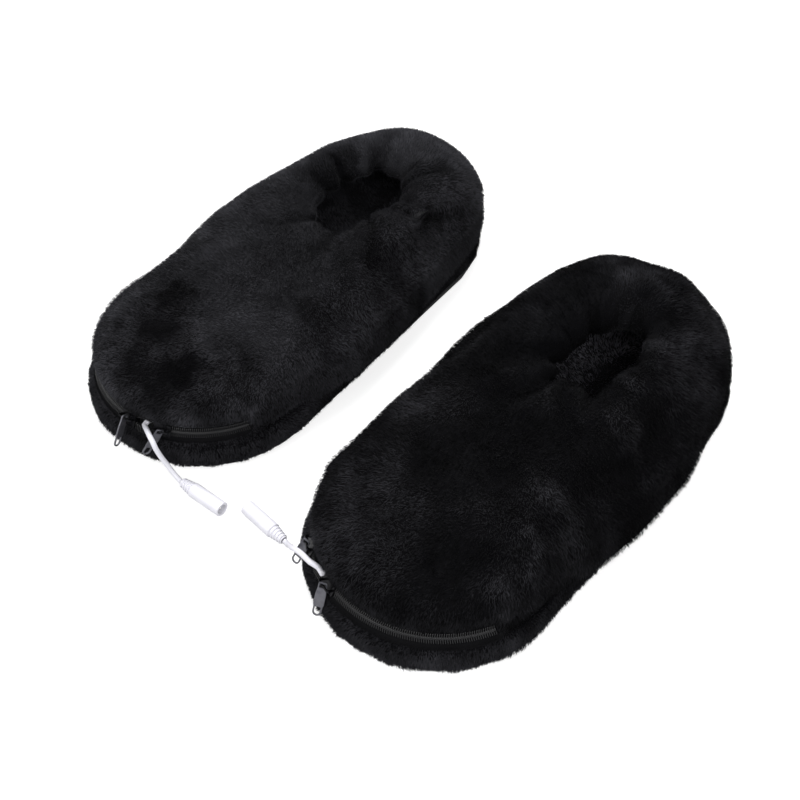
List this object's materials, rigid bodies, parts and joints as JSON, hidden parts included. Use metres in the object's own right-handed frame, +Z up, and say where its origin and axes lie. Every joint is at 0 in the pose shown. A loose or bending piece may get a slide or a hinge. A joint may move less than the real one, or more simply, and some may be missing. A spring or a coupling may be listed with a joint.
{
  "type": "heated plush shoes",
  "caption": "Pair of black plush foot warmers with a gathered mouth and a heating pad inside; a zip at each toe lets out a white cable with a power socket.",
  "frame": {"origin": "On the floor, below the middle of the two shoes' box without the cables and their sockets.", "axes": "+Z up. The toes point to -Y. The wearer's right shoe stands at -X and the left shoe at +X."},
  "size_m": [0.3277, 0.3156, 0.0763],
  "materials": {
    "plush": "deep pile with a soft sheen",
    "fleece": "short pile",
    "foam": "matte open-cell foam and wadding",
    "grip": "matte",
    "felt": "matte",
    "heating_wire": "satin insulation",
    "elastic": "matte",
    "tape": "woven",
    "coil": "semi-gloss",
    "zip_metal": "gunmetal, satin",
    "white_plastic": "semi-gloss",
    "nickel": "polished nickel"
  },
  "bodies": {
    "pair": {"right_outsole": "grip", "right_sole_foam": "foam", "right_sole_band": "plush", "right_heater_pad": "felt", "right_heating_wire": "heating_wire", "right_heater_joint": "white_plastic", "right_heater_lead": "white_plastic", "right_insole": "fleece", "right_upper_cover": "plush", "right_upper_wadding": "foam", "right_upper_lining": "fleece", "right_mouth_elastic": "elastic", "right_zip_tape_upper": "tape", "right_zip_tape_lower": "tape", "right_zip_coil_upper": "coil", "right_zip_coil_lower": "coil", "right_zip_stop_outer": "zip_metal", "right_zip_stop_inner": "zip_metal", "right_cable": "white_plastic", "right_socket_housing": "white_plastic", "right_socket_insulator": "white_plastic", "right_socket_contact": "nickel", "right_socket_pin": "nickel", "left_outsole": "grip", "left_sole_foam": "foam", "left_sole_band": "plush", "left_heater_pad": "felt", "left_heating_wire": "heating_wire", "left_heater_joint": "white_plastic", "left_heater_lead": "white_plastic", "left_insole": "fleece", "left_upper_cover": "plush", "left_upper_wadding": "foam", "left_upper_lining": "fleece", "left_mouth_elastic": "elastic", "left_zip_tape_upper": "tape", "left_zip_tape_lower": "tape", "left_zip_coil_upper": "coil", "left_zip_coil_lower": "coil", "left_zip_stop_outer": "zip_metal", "left_zip_stop_inner": "zip_metal", "left_cable": "white_plastic", "left_socket_housing": "white_plastic", "left_socket_insulator": "white_plastic", "left_socket_contact": "nickel", "left_socket_pin": "nickel"},
    "right_slider_1": {"right_zip_slider_1": "zip_metal"},
    "right_tab_1": {"right_pull_tab_1": "zip_metal"},
    "right_slider_2": {"right_zip_slider_2": "zip_metal"},
    "right_tab_2": {"right_pull_tab_2": "zip_metal"},
    "left_slider_1": {"left_zip_slider_1": "zip_metal"},
    "left_tab_1": {"left_pull_tab_1": "zip_metal"},
    "left_slider_2": {"left_zip_slider_2": "zip_metal"},
    "left_tab_2": {"left_pull_tab_2": "zip_metal"}
  },
  "joints": [
    {"name": "right_slider_1_run", "type": "hinge", "parent": "pair", "child": "right_slider_1", "pos_m": [-0.09188, -0.0702, 0.0245], "axis": [0, 0, 1], "range_deg": [-64, 3.2], "deforming": ["right_zip_coil_upper", "right_zip_coil_lower", "right_cable"]},
    {"name": "right_tab_1_swing", "type": "hinge", "parent": "right_slider_1", "child": "right_tab_1", "pos_m": [-0.08758, -0.13865, 0.02715], "axis": [-0.998, -0.0628, 0], "range_deg": [0, 120]},
    {"name": "right_slider_2_run", "type": "hinge", "parent": "pair", "child": "right_slider_2", "pos_m": [-0.09188, -0.0702, 0.0245], "axis": [0, 0, 1], "range_deg": [-3.7, 38.5], "deforming": ["right_zip_coil_upper", "right_zip_coil_lower", "right_cable"]},
    {"name": "right_tab_2_swing", "type": "hinge", "parent": "right_slider_2", "child": "right_tab_2", "pos_m": [-0.06497, -0.13329, 0.02715], "axis": [-0.9198, -0.3923, 0], "range_deg": [0, 120]},
    {"name": "left_slider_1_run", "type": "hinge", "parent": "pair", "child": "left_slider_1", "pos_m": [0.09185, -0.08416, 0.0245], "axis": [0, 0, 1], "range_deg": [-21.2, 5], "deforming": ["left_zip_coil_upper", "left_zip_coil_lower", "left_cable"]},
    {"name": "left_tab_1_swing", "type": "hinge", "parent": "left_slider_1", "child": "left_tab_1", "pos_m": [0.04631, -0.13545, 0.02715], "axis": [-0.7478, 0.6639, 0], "range_deg": [0, 120]},
    {"name": "left_slider_2_run", "type": "hinge", "parent": "pair", "child": "left_slider_2", "pos_m": [0.09185, -0.08416, 0.0245], "axis": [0, 0, 1], "range_deg": [-0.8, 77.4], "deforming": ["left_zip_coil_upper", "left_zip_coil_lower", "left_cable"]},
    {"name": "left_tab_2_swing", "type": "hinge", "parent": "left_slider_2", "child": "left_tab_2", "pos_m": [0.07043, -0.14932, 0.02715], "axis": [-0.95, 0.3123, 0], "range_deg": [0, 120]}
  ]
}
